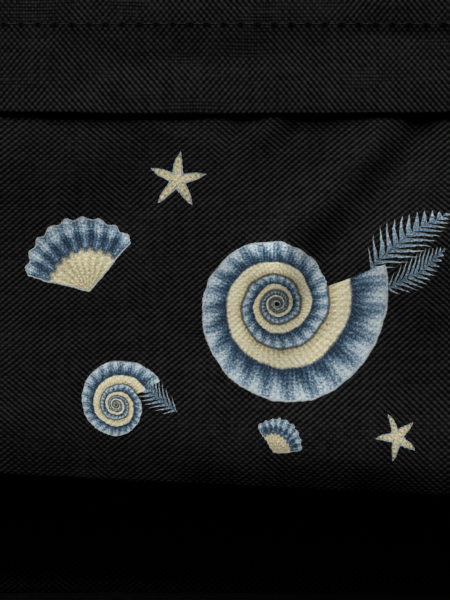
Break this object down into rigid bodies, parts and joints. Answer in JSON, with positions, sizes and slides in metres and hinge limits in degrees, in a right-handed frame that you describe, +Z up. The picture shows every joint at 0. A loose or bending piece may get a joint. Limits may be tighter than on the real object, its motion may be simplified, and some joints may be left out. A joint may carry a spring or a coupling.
{
  "type": "zipped fabric pouch bag",
  "caption": "Flat-bottomed black woven pouch bag with piped edges, a top zip, and a shallow front pocket whose zip hides under a topstitched storm flap.",
  "frame": {"origin": "middle of the bounding box, on the surface that the bag stands on", "axes": "+X along the bag's width, +Y towards its back, +Z up; the printed pocket faces -Y"},
  "size_m": [0.256, 0.0946, 0.1872],
  "materials": {
    "black_weave": "coarse plain weave, lined",
    "pocket_weave": "coarse plain weave with a printed design on the pocket panel",
    "piping_cloth": "smooth woven binding over a cord",
    "zip_tape": "herringbone woven tape",
    "nylon_coil": "satin nylon",
    "black_metal": "black enamel, semi-gloss"
  },
  "bodies": {
    "bag": {"front_panel": "black_weave", "back_panel": "black_weave", "gusset": "black_weave", "top_strip_front": "black_weave", "top_strip_back": "black_weave", "zip_end_patch_left": "black_weave", "zip_end_patch_right": "black_weave", "piping_front": "piping_cloth", "piping_back": "piping_cloth", "main_zip_tape_near": "zip_tape", "main_zip_tape_far": "zip_tape", "main_zip_coil_near": "nylon_coil", "main_zip_coil_far": "nylon_coil", "main_zip_top_stop_near": "black_metal", "main_zip_top_stop_far": "black_metal", "main_zip_bottom_stop": "black_metal", "pocket_gusset": "black_weave", "pocket_panel": "pocket_weave", "storm_flap": "pocket_weave", "flap_facing": "black_weave", "pocket_zip_tape_near": "zip_tape", "pocket_zip_tape_far": "zip_tape", "pocket_zip_coil_near": "nylon_coil", "pocket_zip_coil_far": "nylon_coil", "pocket_zip_top_stop_near": "black_metal", "pocket_zip_top_stop_far": "black_metal", "pocket_zip_bottom_stop": "black_metal"},
    "main_runner": {"main_zip_slider": "black_metal"},
    "main_pull": {"main_zip_pull": "black_metal"},
    "pocket_runner": {"pocket_zip_slider": "black_metal", "pocket_zip_pull": "black_metal"}
  },
  "joints": [
    {"name": "main_zip", "type": "slide", "parent": "bag", "child": "main_runner", "axis": [1, 0, 0], "range_m": [-0.147, 0]},
    {"name": "main_pull_hinge", "type": "hinge", "parent": "main_runner", "child": "main_pull", "pos_m": [0.0735, 0.0123, 0.1856], "axis": [0, 1, 0], "range_deg": [0, 150]},
    {"name": "pocket_zip", "type": "slide", "parent": "bag", "child": "pocket_runner", "axis": [1, 0, 0], "range_m": [-0.162, 0]}
  ]
}
